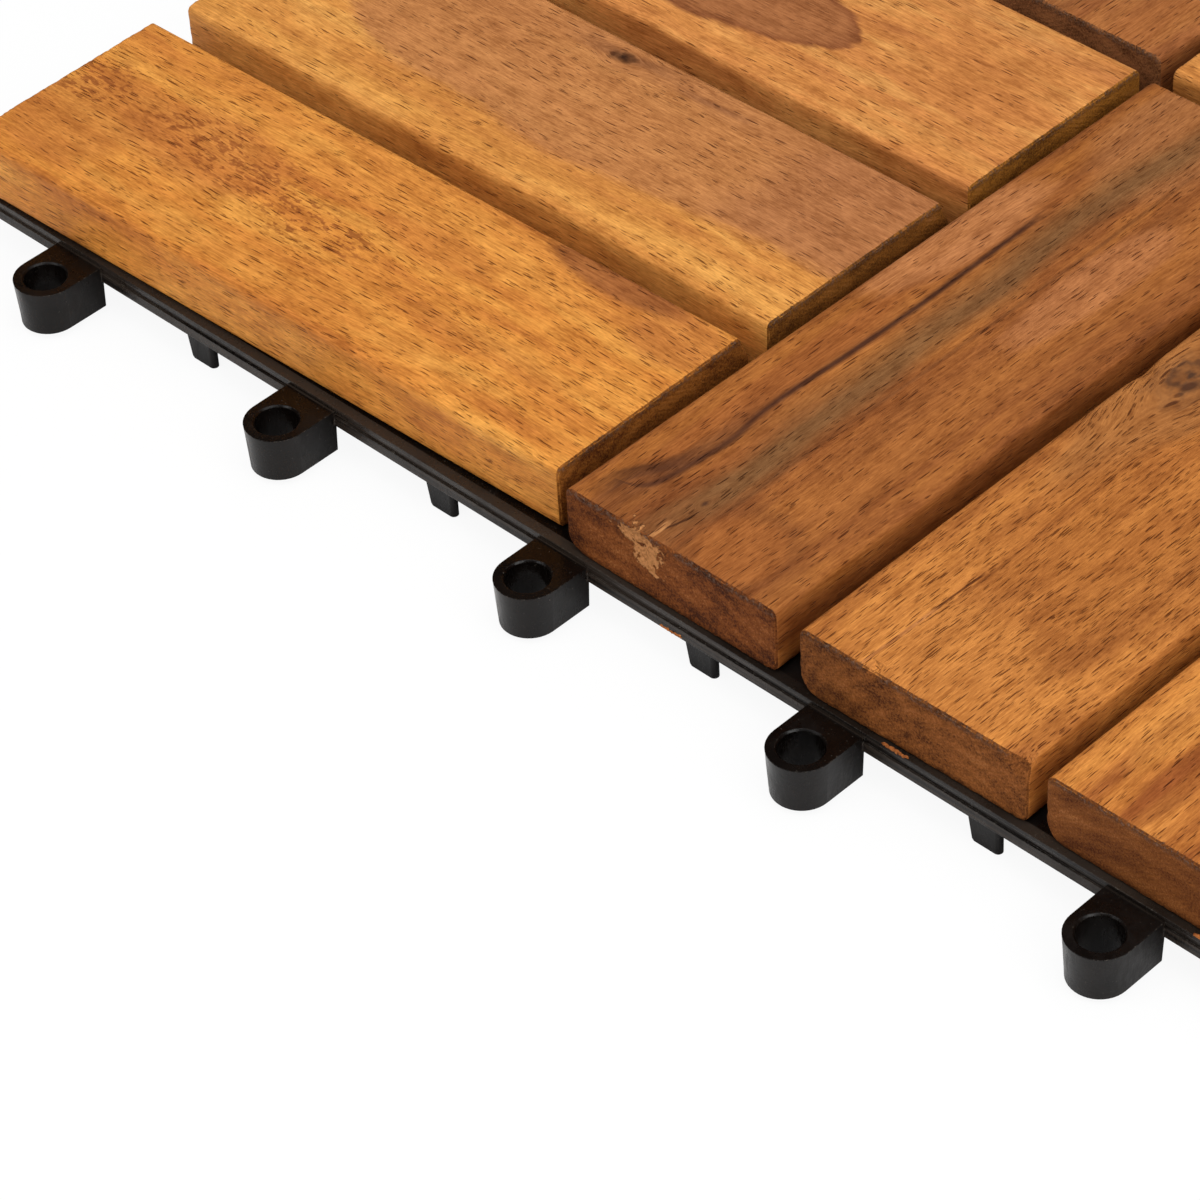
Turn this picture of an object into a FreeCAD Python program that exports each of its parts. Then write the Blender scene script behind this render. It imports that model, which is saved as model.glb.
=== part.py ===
import FreeCAD, Part
import os
from math import cos, pi, radians, sin

from FreeCAD import Vector

# Interlocking deck tile: twelve oiled hardwood slats in four groups of three,
# screwed from below to a black moulded base grid. Five loops stand out of the
# front side and five out of the right side. Five pegs hang under the back edge
# and five under the left edge, where a neighbouring tile's loops hook on.
# Units are millimetres. X runs along the front edge, Y into the tile, Z is up.
# The origin is the middle of the tile's square place in the deck, at the level
# of the ground. The functions below count X and Y from that square's front left
# corner, and each finished piece is moved to the origin at the end.

# Driving sizes of the whole tile
TILE_PITCH = 300.0          # one tile and its joint, from tile to tile
EDGE_SETBACK = 1.5          # from the edge of that square to the grid's outer face
BASE_HEIGHT = 11.0          # ground to the face that the slats lie on

# Slats
SLAT_END_GAP = 6.0          # between a slat's end and the next group
SLAT_SIDE_GAP = 3.8         # between slats, side to side
SLAT_THICKNESS = 13.0
SLATS_PER_GROUP = 3
GROUPS_PER_SIDE = 2
TOP_LEFT_ROUND = 1.8        # the slat's long edges, seen along it towards +X or +Y
TOP_RIGHT_ROUND = 1.2
LOWER_LEFT_ROUND = 3.6
LOWER_RIGHT_ROUND = 1.8
END_CHAMFER = 0.5

# Base grid
TOP_SKIN = 0.8              # flat top strips and border band
BORDER_WIDTH = 13.0
STRIP_WIDTH = 10.0          # wide enough to close the gaps between slats from below
RIB_THICKNESS = 1.6
RIB_FOOT_LEVEL = 5.0        # underside of the ribs and of the screw bosses
STRIPS_PER_SLAT = 2         # strips run under each gap and each slat's centre line
RIM_THICKNESS = 2.0
RIM_FOOT_LEVEL = 7.0        # underside of the rim
RIM_STEP = 0.35             # the band between lip and lower edge lies back this far
LIP_HEIGHT = 0.5
LOWER_BAND_HEIGHT = 1.9

# Loops and pegs
LOOPS_PER_SIDE = 5
LOOP_REACH = 6.5            # edge of the tile's square to the hole's axis
LOOP_HOLE_RADIUS = 3.8
LOOP_WALL = 1.9
LOOP_TOP_LEVEL = 10.1
LOOP_FOOT_LEVEL = 1.3
LOOP_DRAFT = 0.5            # the loop is this much narrower at its foot, each side
LOOP_HOLE_CHAMFER = 0.3
PEG_CLEARANCE = 0.2         # peg to loop hole, all round
PEG_LENGTH = 7.0
PEG_WALL = 1.5
PEG_TIP_CHAMFER = 0.6
SOCKET_CLEARANCE = 0.7      # free room round a neighbour's loop, each side

# Feet
FEET_PER_SIDE = 4
FOOT_LENGTH = 4.6           # toe to the middle of the round nose, at the ground
FOOT_NOSE_OFFSET = 1.0      # the nose's middle lies this far past the foot's place
FOOT_THICKNESS = 1.7
FOOT_SPLAY = 1.8            # how much longer the foot is at its top
FOOT_TOE_CHAMFER = 0.4
FOOT_INSET = 1.85           # outer face of the grid to the foot
STUDS_PER_SIDE = 3
STUD_RADIUS = 3.5

# Screws
SMALL_ROUND_SIDES = 12      # screws, their holes and bosses repeat, so they get few faces
SCREW_LINE = 1              # screws stand on this strip line, from each end of a group
SCREW_SHANK_RADIUS = 1.75
SCREW_HEAD_RADIUS = 3.3
SCREW_HEAD_HEIGHT = 2.0
SCREW_BITE = 9.5            # depth in the wood
SCREW_SLEEVE_CLEARANCE = 0.2
SCREW_PILOT_CLEARANCE = 0.05
BOSS_WALL = 2.2

# How each slat was laid: turned a little and pushed a little off its place
# (degrees, along X, along Y), because the slats are screwed on by hand.
AS_LAID = {
    "front_left_slat_1": (1.2, -0.5, 1.0),
    "front_left_slat_2": (0.5, -0.1, 1.5),
    "front_left_slat_3": (0.1, 0.4, 2.4),
    "front_right_slat_1": (0.0, -1.3, 0.65),
    "front_right_slat_2": (0.6, -1.0, -0.5),
    "front_right_slat_3": (0.2, -0.7, -0.2),
    "back_left_slat_1": (-0.3, 0.3, 0.2),
    "back_left_slat_2": (0.4, -0.2, 1.2),
    "back_left_slat_3": (-0.2, 0.3, 2.0),
    "back_right_slat_1": (0.3, -1.2, 2.0),
    "back_right_slat_2": (-0.4, -0.3, 1.3),
    "back_right_slat_3": (0.2, 0.3, 0.7),
}
SLAT_LONGER_BY = {"front_right_slat_1": 2.7}

# The upper left edge of two slats is planed off at a steep slant
SLANT_WIDTH = 2.2
SLANT_DEPTH = 5.4
SLANTED_SLATS = ("front_left_slat_1", "front_left_slat_2")

# Worked out from the sizes above
GROUP_PITCH = TILE_PITCH / GROUPS_PER_SIDE
SLAT_PITCH = GROUP_PITCH / SLATS_PER_GROUP
SLAT_LENGTH = GROUP_PITCH - SLAT_END_GAP
SLAT_WIDTH = SLAT_PITCH - SLAT_SIDE_GAP
STRIP_PITCH = SLAT_PITCH / STRIPS_PER_SLAT
SLATS_ACROSS = GROUPS_PER_SIDE * SLATS_PER_GROUP
LOOP_PITCH = TILE_PITCH / LOOPS_PER_SIDE
FOOT_PITCH = TILE_PITCH / (FEET_PER_SIDE + 1)
GRID_FAR = TILE_PITCH - EDGE_SETBACK
SKIN_LEVEL = BASE_HEIGHT - TOP_SKIN
LOOP_RADIUS = LOOP_HOLE_RADIUS + LOOP_WALL
PEG_RADIUS = LOOP_HOLE_RADIUS - PEG_CLEARANCE
SOCKET_HALF_WIDTH = LOOP_RADIUS + SOCKET_CLEARANCE
SOCKET_DEPTH = LOOP_REACH + LOOP_RADIUS + SOCKET_CLEARANCE
BAND_INNER = EDGE_SETBACK + BORDER_WIDTH
LOOP_PLACES = [LOOP_PITCH * (index + 0.5) for index in range(LOOPS_PER_SIDE)]
FOOT_PLACES = [FOOT_PITCH * (index + 1) for index in range(FEET_PER_SIDE)]
STRIP_PLACES = [STRIP_PITCH * index for index in range(1, SLATS_ACROSS * STRIPS_PER_SLAT)]
RIB_PLACES = [SLAT_PITCH * (index + 0.5) for index in range(SLATS_ACROSS)]
STUD_PITCH = SLAT_PITCH * SLATS_ACROSS / (STUDS_PER_SIDE + 1)
STUD_PLACES = [STUD_PITCH * (index + 1) for index in range(STUDS_PER_SIDE)]
BOSS_RADIUS = SCREW_SHANK_RADIUS + SCREW_SLEEVE_CLEARANCE + BOSS_WALL
SIDE_TURNS = (0, 90, 180, 270)      # front, right, back and left side
LOOP_TURNS = (0, 90)
PEG_TURNS = (180, 270)


def box(low_x, low_y, low_z, high_x, high_y, high_z):
    """A box between two corners."""
    size = (high_x - low_x, high_y - low_y, high_z - low_z)
    return Part.makeBox(*size, Vector(low_x, low_y, low_z))


def on_side(shape, turn):
    """Copy a shape modelled at the front side to the side at this turn."""
    copy = shape.copy()
    copy.rotate(Vector(TILE_PITCH / 2.0, TILE_PITCH / 2.0, 0), Vector(0, 0, 1), turn)
    return copy


def small_round(radius, low_z, high_z, x=0.0, y=0.0):
    """An upright round bar with few faces, for small hidden rounds that repeat."""
    step = 2.0 * pi / SMALL_ROUND_SIDES
    angles = [step * (index + 0.5) for index in range(SMALL_ROUND_SIDES)]
    corners = [Vector(x + radius * cos(angle), y + radius * sin(angle), low_z) for angle in angles]
    outline = Part.makePolygon(corners + corners[:1])
    return Part.Face(outline).extrude(Vector(0, 0, high_z - low_z))


def square_ring(inset, width, low_z, high_z):
    """A square ring that lies this far inside the grid's outer face."""
    near = EDGE_SETBACK + inset
    far = TILE_PITCH - near
    outer = box(near, near, low_z, far, far, high_z)
    hole = box(near + width, near + width, low_z - 1, far - width, far - width, high_z + 1)
    return outer.cut(hole)


# Base grid

def top_skin():
    """Border band and flat strips, left by square windows cut in a sheet."""
    sheet = box(EDGE_SETBACK, EDGE_SETBACK, SKIN_LEVEL, GRID_FAR, GRID_FAR, BASE_HEIGHT)
    half_strip = STRIP_WIDTH / 2.0
    lines = [0.0] + STRIP_PLACES + [TILE_PITCH]
    spans = []
    for low, high in zip(lines[:-1], lines[1:]):
        near = max(low + half_strip, BAND_INNER)
        far = min(high - half_strip, TILE_PITCH - BAND_INNER)
        spans.append((near, far))
    windows = []
    for x_low, x_high in spans:
        for y_low, y_high in spans:
            windows.append(box(x_low, y_low, SKIN_LEVEL - 1, x_high, y_high, BASE_HEIGHT + 1))
    return sheet.cut(Part.makeCompound(windows))


def rim():
    """Stepped edge: a proud lip on top, a band set back, a proud lower band."""
    lip_foot = BASE_HEIGHT - LIP_HEIGHT
    lower_top = RIM_FOOT_LEVEL + LOWER_BAND_HEIGHT
    return [
        square_ring(0.0, RIM_THICKNESS, lip_foot, BASE_HEIGHT),
        square_ring(RIM_STEP, RIM_THICKNESS - RIM_STEP, lower_top, lip_foot),
        square_ring(0.0, RIM_THICKNESS, RIM_FOOT_LEVEL, lower_top),
    ]


def ribs():
    """Inner wall under the border's edge, and a rib under every slat's centre line."""
    inner_wall = BORDER_WIDTH - RIB_THICKNESS
    parts = [square_ring(inner_wall, RIB_THICKNESS, RIB_FOOT_LEVEL, BASE_HEIGHT)]
    half = RIB_THICKNESS / 2.0
    start = EDGE_SETBACK + inner_wall
    end = TILE_PITCH - start
    for place in RIB_PLACES:
        parts.append(box(place - half, start, RIB_FOOT_LEVEL, place + half, end, BASE_HEIGHT))
        parts.append(box(start, place - half, RIB_FOOT_LEVEL, end, place + half, BASE_HEIGHT))
    return parts


def border_ribs():
    """Short ribs across the border: at the feet all round, and at the loops."""
    half = RIB_THICKNESS / 2.0
    near = EDGE_SETBACK + RIM_STEP
    parts = []
    for turn in SIDE_TURNS:
        for place in FOOT_PLACES:
            rib = box(place - half, near, RIM_FOOT_LEVEL, place + half, BAND_INNER, BASE_HEIGHT)
            parts.append(on_side(rib, turn))
    for turn in LOOP_TURNS:
        for place in LOOP_PLACES:
            rib = box(place - half, near, RIM_FOOT_LEVEL, place + half, BAND_INNER, BASE_HEIGHT)
            parts.append(on_side(rib, turn))
    return parts


def loop_body():
    """One loop without its hole, at the front side with its axis at X = 0."""
    height = LOOP_TOP_LEVEL - LOOP_FOOT_LEVEL
    root = EDGE_SETBACK + RIM_STEP
    foot_half = LOOP_RADIUS - LOOP_DRAFT
    nose = Part.makeCone(foot_half, LOOP_RADIUS, height, Vector(0, -LOOP_REACH, LOOP_FOOT_LEVEL))
    outlines = []
    for half, level in ((foot_half, LOOP_FOOT_LEVEL), (LOOP_RADIUS, LOOP_TOP_LEVEL)):
        near = -LOOP_REACH
        corners = [(-half, near), (half, near), (half, root), (-half, root), (-half, near)]
        outlines.append(Part.makePolygon([Vector(x, y, level) for x, y in corners]))
    cheeks = Part.makeLoft(outlines, True, True)
    return nose.fuse(cheeks)


def loop_hole():
    """The hole for a neighbour's peg, with a broken upper edge."""
    height = LOOP_TOP_LEVEL - LOOP_FOOT_LEVEL
    hole = Part.makeCylinder(LOOP_HOLE_RADIUS, height + 1.0, Vector(0, -LOOP_REACH, LOOP_FOOT_LEVEL - 1.0))
    mouth_foot = Vector(0, -LOOP_REACH, LOOP_TOP_LEVEL - LOOP_HOLE_CHAMFER)
    mouth_radius = LOOP_HOLE_RADIUS + LOOP_HOLE_CHAMFER
    mouth = Part.makeCone(LOOP_HOLE_RADIUS, mouth_radius, LOOP_HOLE_CHAMFER, mouth_foot)
    return hole.fuse(mouth)


def at_places(shape, places):
    copies = []
    for place in places:
        copy = shape.copy()
        copy.translate(Vector(place, 0, 0))
        copies.append(copy)
    return copies


def peg():
    """A peg at the front side, with its axis at X = 0; moved to back and left."""
    top = SKIN_LEVEL
    foot = top - PEG_LENGTH
    solid = Part.makeCylinder(PEG_RADIUS, PEG_LENGTH, Vector(0, LOOP_REACH, foot))
    foot_edges = [edge for edge in solid.Edges if edge.BoundBox.ZMax < foot + 0.01]
    solid = solid.makeChamfer(PEG_TIP_CHAMFER, foot_edges)
    core = small_round(PEG_RADIUS - PEG_WALL, foot, top, 0.0, LOOP_REACH)
    return solid.cut(core)


def socket():
    """Room under the border for a neighbour's loop, open at the front and below."""
    depth = SOCKET_DEPTH - EDGE_SETBACK
    near = EDGE_SETBACK - 1.0
    return box(-SOCKET_HALF_WIDTH, near, 0.0, SOCKET_HALF_WIDTH, near + 1.0 + depth, SKIN_LEVEL)


def foot():
    """An edge foot: a tab along the edge with a splayed toe and a half round nose."""
    near = EDGE_SETBACK + FOOT_INSET
    nose = FOOT_NOSE_OFFSET
    toe = nose - FOOT_LENGTH
    corners = [
        (toe + FOOT_TOE_CHAMFER, 0.0),
        (nose, 0.0),
        (nose, SKIN_LEVEL),
        (toe - FOOT_SPLAY, SKIN_LEVEL),
        (toe, FOOT_TOE_CHAMFER),
    ]
    points = [Vector(x, near, z) for x, z in corners]
    outline = Part.makePolygon(points + points[:1])
    tab = Part.Face(outline).extrude(Vector(0, FOOT_THICKNESS, 0))
    radius = FOOT_THICKNESS / 2.0
    round_end = Part.makeCylinder(radius, SKIN_LEVEL, Vector(nose, near + radius, 0))
    return tab.fuse(round_end)


def studs():
    """Round studs that carry the middle of the tile on the ground."""
    return [small_round(STUD_RADIUS, 0.0, SKIN_LEVEL, x, y) for x in STUD_PLACES for y in STUD_PLACES]


def boss_parts():
    """Screw bosses as deep as the ribs, and the holes through them."""
    hole_radius = SCREW_SHANK_RADIUS + SCREW_SLEEVE_CLEARANCE
    bosses = []
    holes = []
    for x, y in screw_places():
        bosses.append(small_round(BOSS_RADIUS, RIB_FOOT_LEVEL, BASE_HEIGHT, x, y))
        holes.append(small_round(hole_radius, RIB_FOOT_LEVEL - 1.0, BASE_HEIGHT + 1.0, x, y))
    return bosses, holes


def base_grid():
    bosses, boss_holes = boss_parts()
    parts = rim() + ribs() + border_ribs() + studs() + bosses
    for turn in SIDE_TURNS:
        for copy in at_places(foot(), FOOT_PLACES):
            parts.append(on_side(copy, turn))
    for turn in LOOP_TURNS:
        for copy in at_places(loop_body(), LOOP_PLACES):
            parts.append(on_side(copy, turn))
    grid = top_skin().multiFuse(parts)
    cutters = list(boss_holes)
    for turn in LOOP_TURNS:
        for copy in at_places(loop_hole(), LOOP_PLACES):
            cutters.append(on_side(copy, turn))
    for turn in PEG_TURNS:
        for copy in at_places(socket(), LOOP_PLACES):
            cutters.append(on_side(copy, turn))
    grid = grid.cut(Part.makeCompound(cutters))
    pegs = []
    for turn in PEG_TURNS:
        for copy in at_places(peg(), LOOP_PLACES):
            pegs.append(on_side(copy, turn))
    return grid.multiFuse(pegs).removeSplitter()


# Slats

def slat_profile():
    """The slat's section in the plane X = 0, from the rounds of its long edges."""
    half = SLAT_WIDTH / 2.0
    floor = BASE_HEIGHT
    top = BASE_HEIGHT + SLAT_THICKNESS
    corners = [
        (half, floor, -1, 1, LOWER_LEFT_ROUND),
        (half, top, -1, -1, TOP_LEFT_ROUND),
        (-half, top, 1, -1, TOP_RIGHT_ROUND),
        (-half, floor, 1, 1, LOWER_RIGHT_ROUND),
    ]
    edges = []
    starts = []
    ends = []
    for y, z, inward_y, inward_z, radius in corners:
        on_face = Vector(0, y + inward_y * radius, z)
        on_side_wall = Vector(0, y, z + inward_z * radius)
        reach = radius * (1.0 - sin(pi / 4.0))
        middle = Vector(0, y + inward_y * reach, z + inward_z * reach)
        rising = (y > 0) == (z == floor)
        start = on_face if rising else on_side_wall
        end = on_side_wall if rising else on_face
        starts.append(start)
        ends.append(end)
        edges.append(Part.Arc(start, middle, end).toShape())
    for index in range(len(corners)):
        following = (index + 1) % len(corners)
        edges.append(Part.makeLine(ends[index], starts[following]))
    return Part.Face(Part.Wire(Part.__sortEdges__(edges)))


def plain_slat(length, slanted):
    """A slat along X, centred over the origin, with its end edges broken."""
    profile = slat_profile()
    profile.translate(Vector(-length / 2.0, 0, 0))
    slat = profile.extrude(Vector(length, 0, 0))
    top = BASE_HEIGHT + SLAT_THICKNESS
    if slanted:
        slat = slat.cut(slant_waste(length, top))
    end_edges = []
    for edge in slat.Edges:
        across = edge.BoundBox.XLength < 0.01
        if across and edge.BoundBox.ZMin > top - 0.01:
            end_edges.append(edge)
    return slat.makeChamfer(END_CHAMFER, end_edges)


def slant_waste(length, top):
    """What the plane takes off a slat's upper left edge."""
    side = SLAT_WIDTH / 2.0
    slope = SLANT_WIDTH / SLANT_DEPTH
    corners = [
        Vector(-length, side - SLANT_WIDTH - slope, top + 1.0),
        Vector(-length, side + slope, top - SLANT_DEPTH - 1.0),
        Vector(-length, side + SLANT_WIDTH, top + 1.0),
    ]
    face = Part.Face(Part.makePolygon(corners + corners[:1]))
    return face.extrude(Vector(2.0 * length, 0, 0))


def slat_places():
    """Name, centre and turn of each slat: the groups run X, Y, Y, X."""
    places = []
    for group_row, depth_word in enumerate(("front", "back")):
        for group_column, side_word in enumerate(("left", "right")):
            along_x = (group_row + group_column) % 2 == 0
            for index in range(SLATS_PER_GROUP):
                across = SLAT_PITCH * (index + 0.5)
                middle = GROUP_PITCH / 2.0
                x = GROUP_PITCH * group_column + (middle if along_x else across)
                y = GROUP_PITCH * group_row + (across if along_x else middle)
                name = "%s_%s_slat_%d" % (depth_word, side_word, index + 1)
                places.append((name, x, y, 0 if along_x else 90))
    return places


def screw_places():
    """Two screws to a slat, where its own rib is crossed by another."""
    offset = GROUP_PITCH / 2.0 - STRIP_PITCH * SCREW_LINE
    places = []
    for name, x, y, turn in slat_places():
        for side in (-1, 1):
            place_x = x + side * offset * cos(radians(turn))
            place_y = y + side * offset * sin(radians(turn))
            places.append((place_x, place_y))
    return places


def slats():
    """All slats, each turned and pushed as it was laid, with its pilot holes."""
    radius = SCREW_SHANK_RADIUS + SCREW_PILOT_CLEARANCE
    pilot_top = BASE_HEIGHT + SCREW_BITE + 1.0
    holes = Part.makeCompound(
        [small_round(radius, BASE_HEIGHT - 1.0, pilot_top, x, y) for x, y in screw_places()]
    )
    shapes = {}
    for name, x, y, turn in slat_places():
        skew, push_x, push_y = AS_LAID[name]
        length = SLAT_LENGTH + SLAT_LONGER_BY.get(name, 0.0)
        slat = plain_slat(length, name in SLANTED_SLATS)
        slat.rotate(Vector(0, 0, 0), Vector(0, 0, 1), turn + skew)
        slat.translate(Vector(x + push_x, y + push_y, 0))
        shapes[name] = slat.cut(holes)
    return shapes


# Screws

def screw():
    """A flat headed screw, point up, with a plain shank."""
    seat = RIB_FOOT_LEVEL
    head = small_round(SCREW_HEAD_RADIUS, seat - SCREW_HEAD_HEIGHT, seat)
    shank = small_round(SCREW_SHANK_RADIUS, seat, BASE_HEIGHT + SCREW_BITE)
    return head.fuse(shank)


def slat_screws():
    pattern = screw()
    copies = []
    for x, y in screw_places():
        copy = pattern.copy()
        copy.translate(Vector(x, y, 0))
        copies.append(copy)
    return Part.makeCompound(copies)


os.makedirs("parts", exist_ok=True)
NODES = {"base_grid": base_grid(), "slat_screws": slat_screws()}
NODES.update(slats())
for node_name, shape in NODES.items():
    shape.translate(Vector(-TILE_PITCH / 2.0, -TILE_PITCH / 2.0, 0))
    shape.exportStep("parts/%s.step" % node_name)
    state = "valid" if shape.isValid() else "not valid"
    print(node_name, len(shape.Solids), "solids,", state, round(shape.Volume, 1), "mm3")
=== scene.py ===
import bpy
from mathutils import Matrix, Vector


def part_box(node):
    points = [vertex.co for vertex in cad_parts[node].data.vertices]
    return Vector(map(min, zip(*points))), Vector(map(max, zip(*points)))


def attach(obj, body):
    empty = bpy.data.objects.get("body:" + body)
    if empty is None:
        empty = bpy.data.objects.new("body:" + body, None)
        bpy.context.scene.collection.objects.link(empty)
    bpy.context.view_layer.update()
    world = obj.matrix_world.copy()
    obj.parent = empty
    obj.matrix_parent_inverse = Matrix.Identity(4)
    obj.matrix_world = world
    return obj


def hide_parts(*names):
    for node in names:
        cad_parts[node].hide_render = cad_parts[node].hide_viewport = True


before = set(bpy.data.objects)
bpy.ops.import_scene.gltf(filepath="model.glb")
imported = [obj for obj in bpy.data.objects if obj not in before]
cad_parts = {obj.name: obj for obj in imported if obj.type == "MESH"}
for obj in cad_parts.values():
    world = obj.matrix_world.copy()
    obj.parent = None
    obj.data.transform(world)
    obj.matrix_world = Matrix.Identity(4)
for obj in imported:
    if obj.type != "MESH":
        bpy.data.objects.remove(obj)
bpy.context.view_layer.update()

import math
from functools import partial

import bpy
from mathutils import Matrix, Vector

mm = 0.001  # Blender works in metres, the sizes below are in millimetres
print("frame loaded:", len(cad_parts), "nodes")

# The photograph's camera, worked out from the tile's own edges
camera = {
    "azimuth": 46.92,       # degrees round from the front side
    "elevation": 41.73,
    "roll": 3.70,
    "target": (14.34, -154.25, 12.0),
    "distance": 757.5,
    "lens": 142.23,
    "frameWidth": 36.0,
    "clip": (0.05, 50.0),   # metres
}

# Sizes and places in metres, powers in watts
studio = {
    "world": 0.42,          # light from all round
    "worldInGloss": 0.06,   # what glossy faces see of it, because the room was dark
    "floorReach": 6.0,
    "floorColour": "#F2F2F2",
    "floorLift": 0.92,      # share of plain white that the camera sees on the floor
    # place, what it faces, size and power: a large box over the tile, one on the left
    # in front, and one on the right, high enough to reach between the slats
    "softBoxes": {
        "topBox": ((0.25, -0.15, 1.2), (0.0, -0.05, 0.0), (1.1, 1.1), 8.9),
        "sideBox": ((-0.35, -0.95, 1.0), (0.0, -0.1, 0.0), (0.7, 0.5), 3.8),
        "rightBox": ((1.05, -0.3, 0.85), (0.0, -0.1, 0.0), (0.8, 0.5), 6.0),
    },
}


def toLinear(hexColour):
    values = [int(hexColour[place:place + 2], 16) / 255.0 for place in (1, 3, 5)]
    linear = [v / 12.92 if v <= 0.04045 else ((v + 0.055) / 1.055) ** 2.4 for v in values]
    return (*linear, 1.0)


smooth = {"interpolation_type": "SMOOTHSTEP"}
blend = {"data_type": "RGBA"}
nodePrefixes = ("ShaderNode", "GeometryNode", "FunctionNode", "Node")


# Adds one node with its links and settings, and hands back one of its outputs. The
# kind goes without its prefix, and a second word is the operation. Inputs are a list
# in the order of the sockets, or a dictionary with their numbers or names. A list
# among them is joined to one socket, and a word among them is a hex colour.
def addNode(tree, kind, inputs=(), output=0, **settings):
    kind, *operation = kind.split()
    kinds = [prefix + kind for prefix in nodePrefixes if hasattr(bpy.types, prefix + kind)]
    node = tree.nodes.new(kinds[0])
    for word in operation:
        node.operation = word
    for name, value in settings.items():
        setattr(node, name, value)
    for key, value in inputs.items() if isinstance(inputs, dict) else enumerate(inputs):
        for part in value if isinstance(value, list) else [value]:
            if isinstance(part, bpy.types.NodeSocket):
                tree.links.new(part, node.inputs[key])
            else:
                node.inputs[key].default_value = toLinear(part) if isinstance(part, str) else part
    return node.outputs[output] if len(node.outputs) else None


# Sets a colour ramp: these colours at these places
def setRamp(socket, places, colours):
    ramp = socket.node.color_ramp
    while len(ramp.elements) < len(places):
        ramp.elements.new(0.5)
    for element, place, colour in zip(ramp.elements, places, colours):
        element.position = place
        element.color = toLinear(colour)
    return socket


# Adds layers up, each times its share
def addLayers(add, layers, shares, total=0.0):
    for layer, share in zip(layers, shares):
        total = add("Math MULTIPLY_ADD", [layer, share, total])
    return total


# A mesh, camera or lamp as an object in the scene
def addObject(name, data):
    item = bpy.data.objects.new(name, data)
    bpy.context.collection.objects.link(item)
    return item


# An empty material, and addNode for its tree
def newMaterial(name):
    material = bpy.data.materials.new(name)
    material.use_nodes = True
    material.node_tree.nodes.clear()
    return material, partial(addNode, material.node_tree)


# A geometry tree with one named input for each value. What build makes of them in
# millimetres goes to metres, gets real meshes and then its material.
def makeTree(name, values, build):
    tree = bpy.data.node_groups.new(name, "GeometryNodeTree")
    kinds = {float: "Float", int: "Int", tuple: "Vector", Vector: "Vector", bpy.types.Material: "Material"}
    for way in ("INPUT", "OUTPUT"):
        tree.interface.new_socket("Geometry", in_out=way, socket_type="NodeSocketGeometry")
    for label, value in values.items():
        tree.interface.new_socket(label, in_out="INPUT", socket_type="NodeSocket" + kinds[type(value)])
    add = partial(addNode, tree)
    given = add("GroupInput").node.outputs
    geometry = add("Transform", {"Geometry": build(add, given), "Scale": (mm, mm, mm)})
    geometry = add("RealizeInstances", [geometry])
    geometry = add("SetMaterial", {"Geometry": geometry, "Material": given["material"]})
    add("GroupOutput", [geometry])
    return tree


# Runs a tree on an empty mesh and keeps the result as a plain mesh object
def meshFromTree(name, tree, values):
    holder = addObject(name + "Source", bpy.data.meshes.new(name + "Source"))
    modifier = holder.modifiers.new("form", "NODES")
    modifier.node_group = tree
    sockets = {item.name: item.identifier for item in tree.interface.items_tree if item.in_out == "INPUT"}
    for label, value in values.items():
        modifier[sockets[label]] = value
    holder.update_tag()
    bpy.context.view_layer.update()
    evaluated = holder.evaluated_get(bpy.context.evaluated_depsgraph_get())
    mesh = bpy.data.meshes.new_from_object(evaluated)
    mesh.name = name
    holder.modifiers.remove(modifier)
    bpy.data.objects.remove(holder)
    return addObject(name, mesh)


def placeCamera():
    azimuth, elevation = math.radians(camera["azimuth"]), math.radians(camera["elevation"])
    outwards = Vector((math.sin(azimuth) * math.cos(elevation),
                       -math.cos(azimuth) * math.cos(elevation),
                       math.sin(elevation)))
    data = bpy.data.cameras.new("camera")
    data.lens = camera["lens"]
    data.sensor_width = camera["frameWidth"]
    data.clip_start, data.clip_end = camera["clip"]
    eye = addObject("camera", data)
    turn = outwards.to_track_quat("Z", "Y").to_matrix().to_4x4()
    roll = Matrix.Rotation(-math.radians(camera["roll"]), 4, "Z")
    place = (Vector(camera["target"]) + outwards * camera["distance"]) * mm
    eye.matrix_world = Matrix.Translation(place) @ turn @ roll
    bpy.context.scene.camera = eye


placeCamera()
print("camera placed")


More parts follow.
